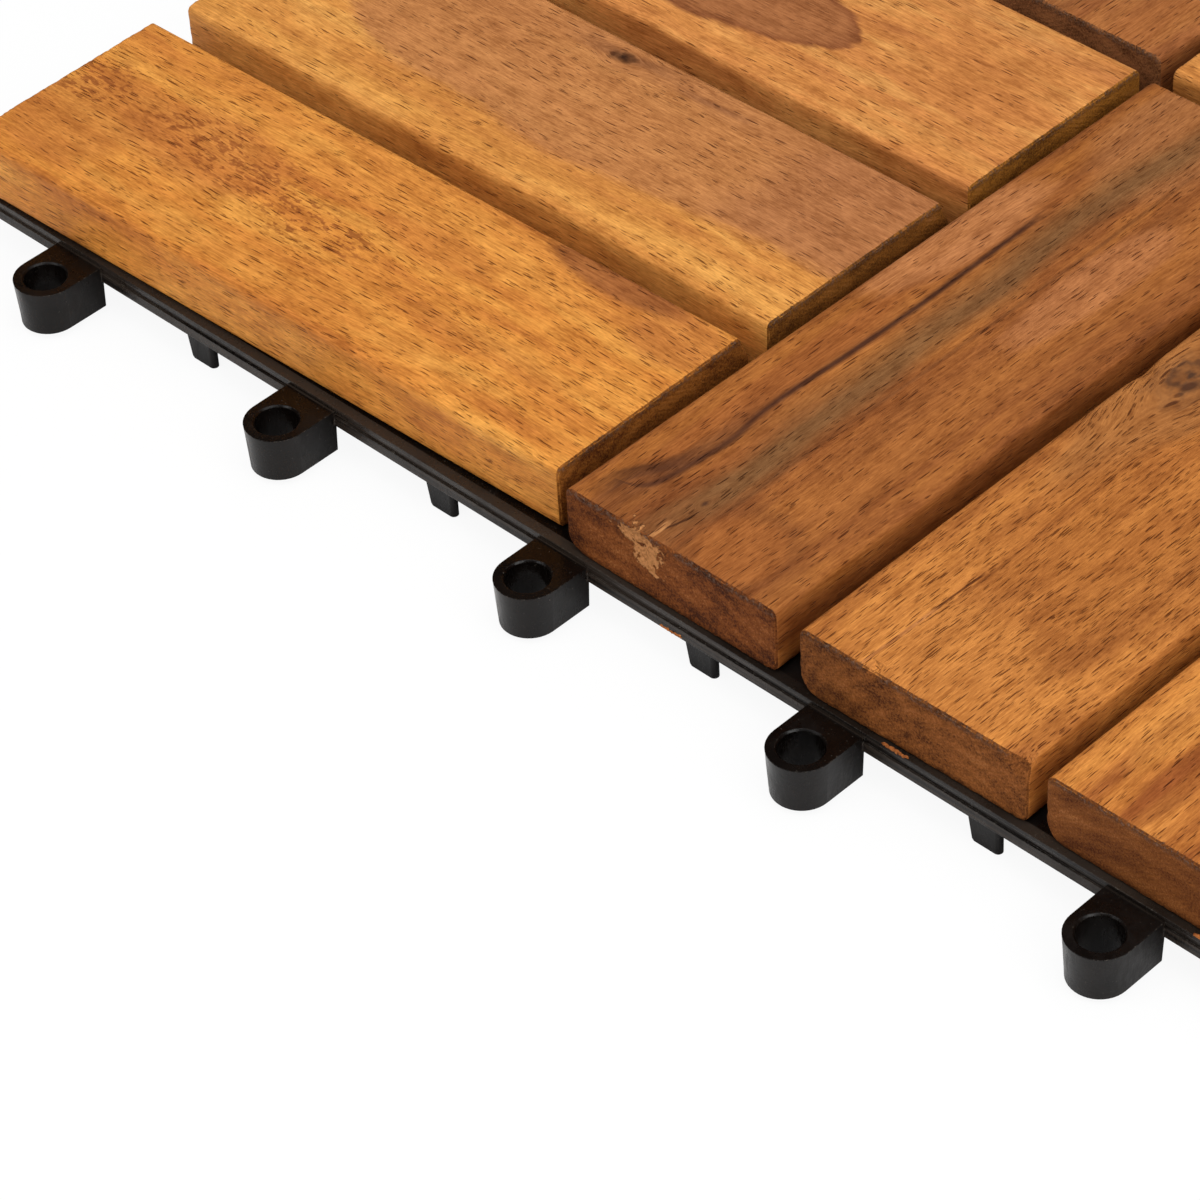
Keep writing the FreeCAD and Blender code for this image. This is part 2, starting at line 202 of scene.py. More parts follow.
# Oiled acacia, planed and sanded on its faces and sawn at its ends: a warm solid
# wood with short dark pores along the grain, wandering growth lines, dark
# heartwood streaks and knots; the oil gives it a soft satin gloss.
# All lengths are millimetres. Places on a slat: x along it, y across it, z up,
# counted from its middle.
wood = {
    "specular": 0.10, "roughness": (0.44, 0.60), "fibreRange": (0.2, 0.8), "endRoughness": 0.85,
    "bump": 0.9,
    # how large the features of each noise are: along the grain, across it, upwards
    "wander": (62.0, 17.0), "cloud": (34.0, 6.5), "patch": (48.0, 3.2), "fibre": (9.0, 0.36),
    "fleck": (1.6, 0.18), "mottle": (4.5, 3.0), "speckle": (2.2, 0.8), "poreArea": (24.0, 5.0),
    "smallPore": (3.6, 0.36), "largePore": (6.5, 0.46), "markEdge": (8.0, 1.8), "lumps": (2.0, 1.7),
    "endSpeckle": (3.0, 0.36), "endCloud": (50.0, 8.0, 4.5), "torn": (0.9, 0.55),
    # between which values each mask fades
    "groundStops": (0.30, 0.48, 0.68), "endStops": (0.56, 0.80, 0.98), "toneRange": (0.63, 0.97),
    "bandPatch": (0.34, 0.50), "spotEdge": (0.98, 1.38), "speckledEdge": (0.45, 1.15),
    "speckles": (0.50, 0.60), "poreEdge": (0.15, 0.29), "endFacing": (0.25, 0.8), "sawShades": (0.93, 1.04),
    "tornUpper": (4.8, 5.9), "tornShades": (0.40, 0.66), "puttyEdge": (1.80, 1.92),
    "puttyShades": (0.36, 0.56),
    "ringSpacing": 3.1, "ringStrength": 0.01925, "wanderBy": (16.0, 6.0, 6.0), "sawMarks": (0.0, 3.1, 5.6),
    # how the grain parts round a knot; reach, lumps, edge and unevenness are counted
    # in the knot's radius
    "knotStretch": (1.8, 1.0, 2.8), "knotPush": -1.1, "knotBend": (0.1, 1.0, 0.4), "knotReach": 4.5,
    "knotShape": (1.7, 1.0, 3.5), "knotLumps": (2.2, 1.2, 2.0), "knotUneven": 2.8, "knotEdge": (1.5, 3.6),
    "knotRings": 5.0, "knotRingShades": (0.9, 0.45), "largeKnot": 2.0, "knotShare": 0.95,
    # a band's edge in its half widths, and what is left of it between its patches
    "bandEdge": (0.15, 1.2), "bandLeast": 0.35,
    "spotDepth": 20.0, "spotUneven": 0.5, "speckledShare": 0.75, "sawWander": 14.0, "sawRelief": 0.06,
    "stainSlope": 0.4, "stainUneven": 4.0, "rimWidth": 2.6, "streakSlope": 0.12,
    # the heart of the tree: how far aside, how deep and how much deeper it may lie
    "heart": (9.0, -30.0, -16.0), "heartStretch": (28.0, 1.0, 1.0),
    "areaShare": 1.5, "areaLoss": 0.80, "smallPoreShare": 0.75, "largePoreShare": 0.8, "calmLoss": -0.5,
    "poreShare": 0.95,
    "tornUneven": 2.6, "tornReach": (0.95, 1.5), "tornShare": 0.6, "puttyUneven": 2.6,
    "shade": (0.60, 0.50, 0.40, 1.0), "shine": (1.16, 1.15, 1.12, 1.0), "poreTint": (0.30, 0.21, 0.16),
    "speckleColour": "#8E4E24", "endPale": "#A46A3C", "rawColours": ("#38241A", "#846A5A"),
    # the filler: its colours, the middles and reaches of its two patches
    "puttyColours": ("#A86C3C", "#D29058"),
    "puttyPatches": [((-73.6, 4.6, 2.0), (4.6, 4.5, 5.6)), ((-73.6, 7.4, 5.0), (4.6, 6.6, 2.3))],
    # shares of fibres, flecks and mottling in the tone, those of cloud, speckles and
    # growth lines in the sawn end's, and the relief of each layer
    "toneShares": (0.60, 0.55, 0.45), "endShares": (0.56, 0.88, 0.028),
    "poreRelief": -0.12, "reliefs": (0.10, 0.05, 0.10, 0.32, 0.9, 0.9),
}

# ground: its colours, deep to light. pores: how many, about 0 to 1. turn: degrees
# off square where it was screwed on. form: what differs from slatForm below. chips,
# up to three: place, radius, depth. bands: y, half width, colour, strength. spots: x,
# y, half length, half width, colour, strength. speckled: the same without the last
# two. knots: x, y, radius, colour. end: dark and light of the sawn end. stains:
# points of the lower and upper edge, colour, rim colour, strength, softness.
# streaks: points along the middle, half width, colour, strength, softness.
slatLooks = {
    "front_left_slat_1": {
        "ground": ("#BB7033", "#D38A3D", "#E2A04C"), "pores": 0.62, "seed": 1.3, "turn": 1.2,
        "bands": [(-17, 2.5, "#C57F3A", 0.35), (14, 9, "#DB9548", 0.35)],
        "spots": [(-36, 0, 19, 10, "#BC7238", 0.6), (-60, -6, 15, 14, "#B97337", 0.6),
                  (46, 19, 17, 4.0, "#8C5230", 0.75), (65, 14, 9, 8, "#B4703A", 0.5),
                  (14, 6, 16, 5, "#C07838", 0.5), (40, -8, 20, 3, "#C47E3C", 0.4)],
        "speckled": [(-34, 1, 24, 9), (-6, -3, 16, 7), (-66, 2, 10, 9)],
        "end": ("#54290C", "#A06024"),
        "form": {"slantWidth": 2.2, "roundTopLeft": 0.6},
        "chips": [((71.8, -4.0, 6.5), 2.0, 0.6), ((71.8, 13.0, 6.5), 1.8, 0.5)],
    },
    "front_left_slat_2": {
        "ground": ("#BE7A3C", "#D49148", "#E5A85A"), "pores": 0.40, "seed": 4.1, "turn": 0.5,
        "bands": [(-19, 3, "#DC9C4C", 0.4)],
        "stains": [([(-50, -2), (-34.8, -9.7), (-10, -10.3), (6.5, -12.5), (24.7, -10.3), (35.6, -9.4),
                     (55.9, -7.5), (74, -7.3), (79, -7.3)], None, "#B87B4B", None, 0.85, 1.9),
                   ([(44, -6), (79, -6)], None, "#A66C46", None, 0.6, 3.0)],
        "spots": [(6, 18, 22, 5, "#A06A40", 0.7), (-34, 16, 22, 6, "#C98446", 0.6),
                  (30, 16, 14, 3, "#A06C44", 0.5)],
        "streaks": [([(-5, 17.0), (2, 17.3), (5.5, 17.9), (10.5, 18.4)], 1.2, "#7A4C32", 0.6, 1.0),
                    ([(17, 16.1), (23, 16.4), (30, 16.9)], 0.7, "#8A583A", 0.6, 0.6)],
        "knots": [(0.5, 16.8, 1.1, "#2E1A10")], "end": ("#4E2A0C", "#9C6226"),
        "form": {"slantWidth": 2.2, "roundTopLeft": 0.6},
    },
    "front_left_slat_3": {
        "ground": ("#B87440", "#CE894A", "#DEA25C"), "pores": 0.30, "seed": 7.7, "turn": 0.1,
        "bands": [(-19, 2.5, "#D08C48", 0.4), (18, 3, "#AB6C3E", 0.4)],
        "stains": [([(-26, -5), (-20, -12), (-12, -15.5), (-5.2, -16.4), (4.1, -15.5), (14.3, -13.1),
                     (20.8, -11.0), (27.8, -7.1), (29.6, -4.0)],
                    [(-26, -5), (-18, 3), (-5, 6.5), (7, 6.3), (17, 3.9), (23, 1.9), (27.4, -1.2),
                     (29.6, -4.0)],
                    "#A2683F", "#8A5230", 1.0, 0.8)],
        "spots": [(54, 2, 20, 9, "#C58044", 0.6)],
        "end": ("#5A340F", "#AE7028"),
    },
    "front_right_slat_1": {
        "ground": ("#794622", "#965A2D", "#AE6E35"), "pores": 0.50, "seed": 10.2, "turn": 0.0,
        "bands": [(-12, 9, "#AC6C36", 0.7), (19, 3, "#A9692F", 0.7),
                  (-0.5, 0.6, "#6A4024", 0.5), (-18, 1.2, "#8A5028", 0.6)],
        "streaks": [([(-66.5, 19.4), (-65.6, 14.4), (-62.5, 12.4), (-56, 11.5), (-47.2, 10.8),
                      (-39.6, 11.8), (-19.5, 11.4), (-3.5, 11.1), (10.3, 11.3), (23.5, 11.6), (30.5, 11.8)],
                     0.62, "#46281C", 0.95, 0.55),
                    ([(-66, 18.2), (-62.2, 16.2), (-58.4, 14.2), (-54, 12.6)], 1.5, "#3E2218", 0.85, 1.0),
                    ([(-70, 15.2), (-64, 13.8), (-57, 12.6), (-48, 12.4), (-40, 12.6)],
                     1.8, "#6A4028", 0.6, 1.6),
                    ([(-68, 4.2), (-53, 2.6), (-34, 3.4), (-19, 3.8), (-3, 4.7), (10, 4.2), (27, 6.4),
                      (42, 6.3), (53, 5.4), (72, 4.0)], 2.7, "#7A5634", 0.85, 2.4),
                    ([(-40, 8.2), (-10, 7.6), (20, 8.4), (50, 9.5)], 1.4, "#80542E", 0.5, 1.8),
                    ([(-71.9, 4.3), (-68.5, 3.2), (-65.3, 2.4)], 0.24, "#4A2A18", 0.9, 0.16),
                    ([(-73.4, 4.1), (-71.5, 4.0), (-69.4, 4.2)], 0.42, "#C68C58", 0.95, 0.2)],
        "spots": [(-68, -2, 13, 22, "#784626", 0.5), (-31, 15, 34, 3, "#A3612F", 0.6),
                  (60, 9, 20, 12, "#A87044", 0.6), (-67, -9, 8, 9, "#AE6A34", 0.5),
                  (17, 19, 22, 6, "#BC7E50", 0.7), (22, -7, 22, 6, "#B27448", 0.7)],
        "knots": [(-61.6, 3.0, 0.35, "#4A2E20")], "end": ("#3C1C0C", "#84481F"),
        "form": {"length": 146.7},
        "chips": [((-73.3, 0.5, 5.8), 2.2, 0.7), ((-73.3, 5.5, 2.5), 2.8, 0.5)],
    },
    "front_right_slat_2": {
        "ground": ("#925628", "#B27036", "#CE8842"), "pores": 1.05, "seed": 13.6, "turn": 0.6,
        "bands": [(-6, 6, "#A4642E", 0.5), (17, 2.5, "#C07C3C", 0.4), (9.4, 0.4, "#7A4420", 0.55)],
        "spots": [(8, 15, 30, 8, "#A06838", 0.8), (-62, -1, 13, 20, "#CE8844", 0.6),
                  (30, -11, 30, 8, "#9C5E2E", 0.8), (-20, 4, 24, 12, "#A8662F", 0.5)],
        "streaks": [([(-54.7, 9.8), (-49.4, 9.7), (-44.0, 9.4)], 0.22, "#5A2E14", 0.9, 0.14),
                    ([(-71.6, 10.4), (-63.1, 10.0), (-54.7, 9.8)], 0.3, "#A86E48", 0.5, 0.2)],
        "knots": [(15.2, 15.4, 3.4, "#4A3224")], "end": ("#3E1E0A", "#905426"),
        "chips": [((-71.5, 8.0, 6.6), 2.6, 1.3), ((-72.0, -22.0, 5.6), 4.2, 1.5),
                  ((12.0, 23.3, 6.5), 5.0, 1.0)],
    },
    "front_right_slat_3": {
        "ground": ("#98582A", "#BE7838", "#D8924A"), "pores": 0.70, "seed": 16.9, "turn": 0.2,
        "bands": [(8, 1.4, "#96542A", 0.8), (1, 3.0, "#A66430", 0.6), (-11, 5, "#CC8640", 0.6),
                  (15, 2, "#92502A", 0.6), (19, 2, "#D08C42", 0.5)],
        "spots": [(-60, 7, 14, 3, "#8A4A22", 0.6), (-48, 14, 16, 4, "#CC8A42", 0.5)],
        "end": ("#4E260E", "#844C22"),
    },
    "back_left_slat_1": {
        "ground": ("#A86A38", "#C58446", "#D8985A"), "pores": 0.45, "seed": 20.1, "turn": -0.3,
        "bands": [(12, 5, "#B27442", 0.6), (-9, 1.1, "#8E5730", 0.6)],
        "spots": [(-20, -6, 22, 8, "#AC6C3C", 0.6)],
        "knots": [(31, -9, 2.0, "#3A2012")], "end": ("#4A2610", "#A06536"),
    },
    "back_left_slat_2": {
        "ground": ("#B67438", "#CF8C45", "#E0A058"), "pores": 0.55, "seed": 23.4, "turn": 0.4,
        "bands": [(-14, 6, "#BC7C44", 0.6), (3, 0.8, "#A0652F", 0.5)],
        "spots": [(35, 6, 18, 9, "#B87840", 0.6)],
        "end": ("#4F2A12", "#A3683A"),
    },
    "back_left_slat_3": {
        "ground": ("#7E4A28", "#9C6036", "#B0733E"), "pores": 0.40, "seed": 26.8, "turn": -0.2,
        "bands": [(8, 1.4, "#4A2A1A", 0.9), (2, 4, "#80502E", 0.6), (-14, 6, "#AC6C3A", 0.7)],
        "spots": [(-52, 4, 18, 12, "#9C6236", 0.6)],
        "end": ("#46260F", "#96603A"),
    },
    "back_right_slat_1": {
        "ground": ("#AC6C36", "#C98644", "#DA9A55"), "pores": 0.50, "seed": 30.0, "turn": 0.3,
        "bands": [(10, 8, "#B87A48", 0.6), (-12, 1.2, "#965C30", 0.5)],
        "spots": [(24, -4, 20, 7, "#B4733C", 0.6)],
        "end": ("#4C2812", "#A2673A"),
    },
    "back_right_slat_2": {
        "ground": ("#8C5630", "#AA6D40", "#C08350"), "pores": 0.42, "seed": 33.3, "turn": -0.4,
        "bands": [(-7, 1.2, "#4E2E1C", 0.9), (-2, 5, "#8A5834", 0.6), (13, 6, "#B67A48", 0.6)],
        "spots": [(-30, -6, 16, 6, "#6E452A", 0.7)],
        "knots": [(-34, -8, 2.4, "#34190F")], "end": ("#442512", "#925E38"),
    },
    "back_right_slat_3": {
        "ground": ("#B07034", "#CC8842", "#DE9D54"), "pores": 0.65, "seed": 36.7, "turn": 0.2,
        "bands": [(-12, 4, "#B67840", 0.6), (6, 1.0, "#9E6230", 0.5)],
        "spots": [(-12, 8, 26, 7, "#BE7C42", 0.6)],
        "end": ("#4E2A12", "#A4683A"),
    },
}

# The slats' form in millimetres: a fine box with rounded long edges, its ends
# broken slightly and worn by noise
slatForm = {
    "length": 144.0, "width": 46.2, "thickness": 13.0,
    "roundTopLeft": 1.8, "roundTopRight": 1.2, "roundLowerLeft": 3.6, "roundLowerRight": 1.8,
    "endBreak": 0.35, "wear": 0.24, "slantWidth": 0.0, "slantDepth": 5.4,
    "cellsAlong": 120, "cellsAcross": 72, "cellsUp": 14,
}

# How a slat's ends are worn and chipped
slatWear = {
    "crowding": 1.6,        # how much closer the cells lie at the two ends
    "noise": 0.9, "detail": 4.0, "roughness": 0.65, "worn": (0.46, 0.72), "uneven": (0.3, 0.75),
    "reach": 1.1, "faceSink": 0.12, "chipRim": 0.8, "chipUneven": 1.6,
    "chipSlide": (0.7, 0.3, 0.0), "chipDrop": (0.0, 0.0, 0.75),
}

baseHeight = 11.0
topLevel = slatForm["thickness"] / 2.0  # counted from a slat's middle

noChip = ((0.0, 0.0, 60.0), 1.0, 0.0)  # out of the slat's reach


# A slat's middle in millimetres and its turn, from its box in the frame
def slatPlace(name, turn):
    low, high = [Vector(corner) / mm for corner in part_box(name)]
    alongX = high.x - low.x > high.y - low.y
    middle = (low + high) / 2.0
    middle.z = baseHeight + topLevel
    return middle, math.radians(turn + (0.0 if alongX else 90.0))


# Noise with features of about this size: along the grain, across it and, where that
# differs, upwards. Each noise of a slat has its own seed, counted from the slat's.
def grainNoise(add, place, size, seed, detail=3.0, roughness=0.6, output=0):
    inverse = tuple(1.0 / length for length in (*size, size[-1])[:3])
    scaled = add("VectorMath MULTIPLY", [place, inverse])
    return add("TexNoise", {"Vector": scaled, "W": seed, "Scale": 1.0, "Detail": detail,
                            "Roughness": roughness}, output, noise_dimensions="4D")


# Distance from a place, with each direction stretched by its own reach
def reachFrom(add, place, centre, reaches):
    inverse = tuple(1.0 / reach for reach in reaches)
    offset = add("VectorMath SUBTRACT", [place, centre])
    offset = add("VectorMath MULTIPLY", [offset, inverse])
    return add("VectorMath LENGTH", [offset], 1)


# The grain's own place: the slat's, wandering slowly and parting round the knots
def bendGrain(add, place, looks):
    wander = grainNoise(add, place, wood["wander"], looks["seed"], 2.0, 0.45, 1)
    wander = add("VectorMath SUBTRACT", [wander, (0.5, 0.5, 0.5)])
    wander = add("VectorMath MULTIPLY", [wander, wood["wanderBy"]])
    grain = add("VectorMath ADD", [place, wander])
    for x, y, radius, _ in looks.get("knots", []):
        reach = reachFrom(add, place, (x, y, topLevel), wood["knotStretch"])
        push = add("MapRange", [reach, 0.0, radius * wood["knotReach"], wood["knotPush"], 0.0], **smooth)
        offset = add("VectorMath SUBTRACT", [place, (x, y, topLevel)])
        bend = add("VectorMath SCALE", {0: offset, "Scale": push})
        bend = add("VectorMath MULTIPLY", [bend, wood["knotBend"]])
        grain = add("VectorMath ADD", [grain, bend])
    return grain


# A line along the slat through given points: its y for every x. Both have to lie
# within these reaches of the slat's middle.
def lineThrough(add, x, points, reachX=80.0, reachY=30.0):
    share = add("MapRange", [x, -reachX, reachX])
    curve = add("FloatCurve", {"Value": share})
    stops = [((px + reachX) / (2.0 * reachX), (py + reachY) / (2.0 * reachY)) for px, py in points]
    mapping = curve.node.mapping
    line = mapping.curves[0]
    line.points[0].location, line.points[1].location = stops[0], stops[-1]
    for stop in stops[1:-1]:
        line.points.new(*stop)
    mapping.extend = "HORIZONTAL"
    mapping.update()
    return add("Math MULTIPLY_ADD", [curve, 2.0 * reachY, -reachY])


# Keeps a depth only between two places along the slat, fading out at both
def endAt(add, depth, x, start, finish, slope):
    for edge, way in ((start, slope), (finish, -slope)):
        reach = add("Math MULTIPLY_ADD", [x, way, -edge * way])
        depth = add("Math MINIMUM", [depth, reach])
    return depth


# Stains with a drawn edge and streaks along a drawn line. Both work with the depth
# inside the mark in millimetres, roughened a little, which is below nought outside.
def addMarks(add, place, colour, looks):
    x, y, _ = add("SeparateXYZ", [place]).node.outputs
    rough = grainNoise(add, place, wood["markEdge"], looks["seed"] + 11.0, 4.0)
    calm = 0.0
    for lower, upper, stainColour, rimColour, strength, softness in looks.get("stains", []):
        depth = add("Math SUBTRACT", [y, lineThrough(add, x, lower)])
        if upper:
            over = add("Math SUBTRACT", [lineThrough(add, x, upper), y])
            depth = add("Math MINIMUM", [depth, over])
        depth = endAt(add, depth, x, lower[0][0], lower[-1][0], wood["stainSlope"])
        depth = add("Math MULTIPLY_ADD", [rough, wood["stainUneven"], depth])
        depth = add("Math SUBTRACT", [depth, wood["stainUneven"] / 2.0])
        inner = stainColour
        if rimColour:
            rim = add("MapRange", [depth, 0.0, wood["rimWidth"], 1.0, 0.0], **smooth)
            inner = add("Mix", {0: rim, 6: inner, 7: rimColour}, 2, **blend)
        calm = add("MapRange", [depth, -softness, softness, 0.0, strength], **smooth)
        colour = add("Mix", {0: calm, 6: colour, 7: inner}, 2, **blend)
    for points, halfWidth, streakColour, strength, softness in looks.get("streaks", []):
        away = add("Math SUBTRACT", [y, lineThrough(add, x, points)])
        away = add("Math ABSOLUTE", [away])
        depth = add("Math SUBTRACT", [halfWidth, away])
        depth = endAt(add, depth, x, points[0][0], points[-1][0], wood["streakSlope"])
        depth = add("Math MULTIPLY_ADD", [rough, halfWidth, depth])
        mask = add("MapRange",
                   [depth, halfWidth * 0.5 - softness, halfWidth * 0.5 + softness, 0.0, strength], **smooth)
        colour = add("Mix", {0: mask, 6: colour, 7: streakColour}, 2, **blend)
    return colour, calm


# Ground colour with its clouds, bands of heartwood and spots
def groundColour(add, place, grain, looks):
    seed = looks["seed"]
    cloud = grainNoise(add, grain, wood["cloud"], seed + 0.5, 4.0)
    colour = setRamp(add("ValToRGB", [cloud]), wood["groundStops"], looks["ground"])
    patches = grainNoise(add, grain, wood["patch"], seed + 2.0)
    across = add("SeparateXYZ", [grain], 1)
    for y, width, bandColour, strength in looks["bands"]:
        away = add("Math SUBTRACT", [across, y])
        away = add("Math ABSOLUTE", [away])
        edges = [width * share for share in wood["bandEdge"]]
        mask = add("MapRange", [away, *edges, 1.0, 0.0], **smooth)
        patchy = add("MapRange", [patches, *wood["bandPatch"], strength * wood["bandLeast"], strength])
        mask = add("Math MULTIPLY", [mask, patchy])
        colour = add("Mix", {0: mask, 6: colour, 7: bandColour}, 2, **blend)
    for x, y, halfLength, halfWidth, spotColour, strength in looks["spots"]:
        reach = reachFrom(add, grain, (x, y, topLevel), (halfLength, halfWidth, wood["spotDepth"]))
        reach = add("Math MULTIPLY_ADD", [patches, wood["spotUneven"], reach])
        mask = add("MapRange", [reach, *wood["spotEdge"], strength, 0.0], **smooth)
        colour = add("Mix", {0: mask, 6: colour, 7: spotColour}, 2, **blend)

    colour, calm = addMarks(add, place, colour, looks)

    # areas sprinkled with short red brown flecks
    for x, y, halfLength, halfWidth in looks.get("speckled", []):
        fleck = grainNoise(add, grain, wood["speckle"], seed + 7.0, 2.0)
        reach = reachFrom(add, grain, (x, y, topLevel), (halfLength, halfWidth, wood["spotDepth"]))
        inside = add("MapRange", [reach, *wood["speckledEdge"], wood["speckledShare"], 0.0], **smooth)
        mask = add("MapRange", [fleck, *wood["speckles"]], **smooth)
        mask = add("Math MULTIPLY", [mask, inside])
        colour = add("Mix", {0: mask, 6: colour, 7: wood["speckleColour"]}, 2, **blend)
    return colour, calm


# One layer of pores: a short dark dash in a share of long narrow cells
def poreLayer(add, grain, size, amount, seed):
    scaled = add("VectorMath MULTIPLY_ADD",
                 [grain, (1 / size[0], 1 / size[1], 1 / size[1]), (seed, seed * 3.0, seed)])
    cell = add("TexVoronoi", {"Vector": scaled, "Scale": 1.0}, feature="F1").node
    mask = add("MapRange", [cell.outputs["Distance"], *wood["poreEdge"], 1.0, 0.0], **smooth)
    draw = add("SeparateColor", [cell.outputs["Color"]])
    area = grainNoise(add, grain, wood["poreArea"], seed + 8.0, 2.0)
    share = add("Math MULTIPLY_ADD", [area, wood["areaShare"], amount - wood["areaLoss"]])
    picked = add("Math LESS_THAN", [draw, share])
    return add("Math MULTIPLY", [mask, picked])


# Knots: a dark heart with uneven rings round it
def addKnots(add, place, colour, looks):
    for x, y, radius, knotColour in looks.get("knots", []):
        lumps = [radius * share for share in wood["knotLumps"]]
        uneven = grainNoise(add, place, lumps, looks["seed"])
        reach = reachFrom(add, place, (x, y, topLevel), wood["knotShape"])
        reach = add("Math MULTIPLY_ADD", [uneven, radius * wood["knotUneven"], reach])
        rings = add("Math MULTIPLY", [reach, wood["knotRings"] / radius ** 0.5])
        rings = add("Math SINE", [rings])
        small, large = wood["knotRingShades"]
        rings = add("MapRange", [rings, -1.0, 1.0, large if radius > wood["largeKnot"] else small])
        edges = [radius * share for share in wood["knotEdge"]]
        mask = add("MapRange", [reach, *edges, wood["knotShare"], 0.0], **smooth)
        mask = add("Math MULTIPLY", [mask, rings])
        colour = add("Mix", {0: mask, 6: colour, 7: knotColour}, 2, **blend)
    return colour


# Sawn end grain: darker, speckled, with growth lines and slanting saw marks
def endGrain(add, place, rings, looks):
    speckle = grainNoise(add, place, wood["endSpeckle"], looks["seed"], 4.0, 0.75)
    cloud = grainNoise(add, place, wood["endCloud"], looks["seed"] + 5.0)
    tone = addLayers(add, (cloud, speckle, rings), wood["endShares"])
    colour = setRamp(add("ValToRGB", [tone]), wood["endStops"], (*looks["end"], wood["endPale"]))
    saw = add("VectorMath DOT_PRODUCT", [place, wood["sawMarks"]], 1)
    saw = add("Math MULTIPLY_ADD", [cloud, wood["sawWander"], saw])
    saw = add("Math SINE", [saw])
    return colour, speckle, saw


def makeWood(name, form, looks):
    material, add = newMaterial("oiledAcaciaSanded_" + name)
    seed, turn = looks["seed"], form["turn"]
    objectPlace = add("TexCoord", output="Object")
    place = add("Mapping", {"Vector": objectPlace, "Location": form["place"] * mm, "Rotation": (0, 0, turn),
                            "Scale": (mm, mm, mm)}, vector_type="TEXTURE")
    grain = bendGrain(add, place, looks)
    colour, calm = groundColour(add, place, grain, looks)

    # growth lines round the tree's heart, below the slat
    aside, depth, swing = wood["heart"]
    heart = (0.0, aside * math.sin(seed * 5.0), depth + swing * math.cos(seed * 3.0))
    rings = reachFrom(add, grain, heart, wood["heartStretch"])
    rings = add("Math MULTIPLY", [rings, 2 * math.pi / wood["ringSpacing"]])
    rings = add("Math SINE", [rings])

    # fibres, flecks and mottling shade the ground colour towards red brown
    fibre = grainNoise(add, grain, wood["fibre"], seed + 3.0, 4.0)
    fleck = grainNoise(add, grain, wood["fleck"], seed + 4.0, 2.0)
    mottle = grainNoise(add, place, wood["mottle"], seed + 6.0)
    tone = add("Math MULTIPLY", [rings, wood["ringStrength"]])
    tone = addLayers(add, (fibre, fleck, mottle), wood["toneShares"], tone)
    tone = add("MapRange", [tone, *wood["toneRange"]])
    tint = add("Mix", {0: tone, 6: wood["shade"], 7: wood["shine"]}, 2, **blend)
    colour = add("VectorMath MULTIPLY", [colour, tint])

    small = poreLayer(add, grain, wood["smallPore"], looks["pores"], seed)
    large = poreLayer(add, grain, wood["largePore"], looks["pores"] * wood["largePoreShare"], seed + 1.0)
    pores = add("Math MULTIPLY", [small, wood["smallPoreShare"]])
    pores = add("Math MAXIMUM", [pores, large])
    fewer = add("Math MULTIPLY_ADD", [calm, wood["calmLoss"], 1.0])
    pores = add("Math MULTIPLY", [pores, fewer])
    poreDark = add("VectorMath MULTIPLY", [colour, wood["poreTint"]])
    poreShare = add("Math MULTIPLY", [pores, wood["poreShare"]])
    colour = add("Mix", {0: poreShare, 6: colour, 7: poreDark}, 2, **blend)
    colour = addKnots(add, place, colour, looks)

    along = (math.cos(turn), math.sin(turn), 0.0)
    facing = add("NewGeometry", output="True Normal")
    facing = add("VectorMath DOT_PRODUCT", [facing, along], 1)
    facing = add("Math ABSOLUTE", [facing])
    endMask = add("MapRange", [facing, *wood["endFacing"]], **smooth)
    endColour, speckle, saw = endGrain(add, place, rings, looks)
    sawTone = add("MapRange", [saw, -1.0, 1.0, *wood["sawShades"]])
    endColour = add("VectorMath SCALE", {0: endColour, "Scale": sawTone})
    colour = add("Mix", {0: endMask, 6: colour, 7: endColour}, 2, **blend)

    # torn fibres on the upper edge where the saw left the wood
    x, _, z = add("SeparateXYZ", [place]).node.outputs
    raw = grainNoise(add, place, wood["torn"], seed + 9.0, 4.0, 0.75)
    endReach = add("Math ABSOLUTE", [x])
    endReach = add("Math MULTIPLY_ADD", [raw, wood["tornUneven"], endReach])
    edges = [form["length"] / 2.0 + reach for reach in wood["tornReach"]]
    rawMask = add("MapRange", [endReach, *edges, 0.0, wood["tornShare"]], **smooth)
    upper = add("MapRange", [z, *wood["tornUpper"]], **smooth)
    rawMask = add("Math MULTIPLY", [rawMask, upper])
    rawShare = add("MapRange", [raw, *wood["tornShades"]], **smooth)
    dark, pale = wood["rawColours"]
    rawColour = add("Mix", {0: rawShare, 6: dark, 7: pale}, 2, **blend)
    colour = add("Mix", {0: rawMask, 6: colour, 7: rawColour}, 2, **blend)

    # light filler smeared over a split at one slat's end
    putty = 0.0
    if name == "front_right_slat_1":
        patches = [reachFrom(add, place, *patch) for patch in wood["puttyPatches"]]
        smear = add("Math MINIMUM", [patches[0], patches[1]])
        lumps = grainNoise(add, place, wood["lumps"], seed + 12.0, 4.0)
        smear = add("Math MULTIPLY_ADD", [lumps, wood["puttyUneven"], smear])
        putty = add("MapRange", [smear, *wood["puttyEdge"], 1.0, 0.0], **smooth)
        puttyShare = add("MapRange", [raw, *wood["puttyShades"]], **smooth)
        dark, pale = wood["puttyColours"]
        puttyColour = add("Mix", {0: puttyShare, 6: dark, 7: pale}, 2, **blend)
        colour = add("Mix", {0: putty, 6: colour, 7: puttyColour}, 2, **blend)

    rough = add("MapRange", [fibre, *wood["fibreRange"], *wood["roughness"]])
    rough = add("Mix", {0: endMask, 2: rough, 3: wood["endRoughness"]})

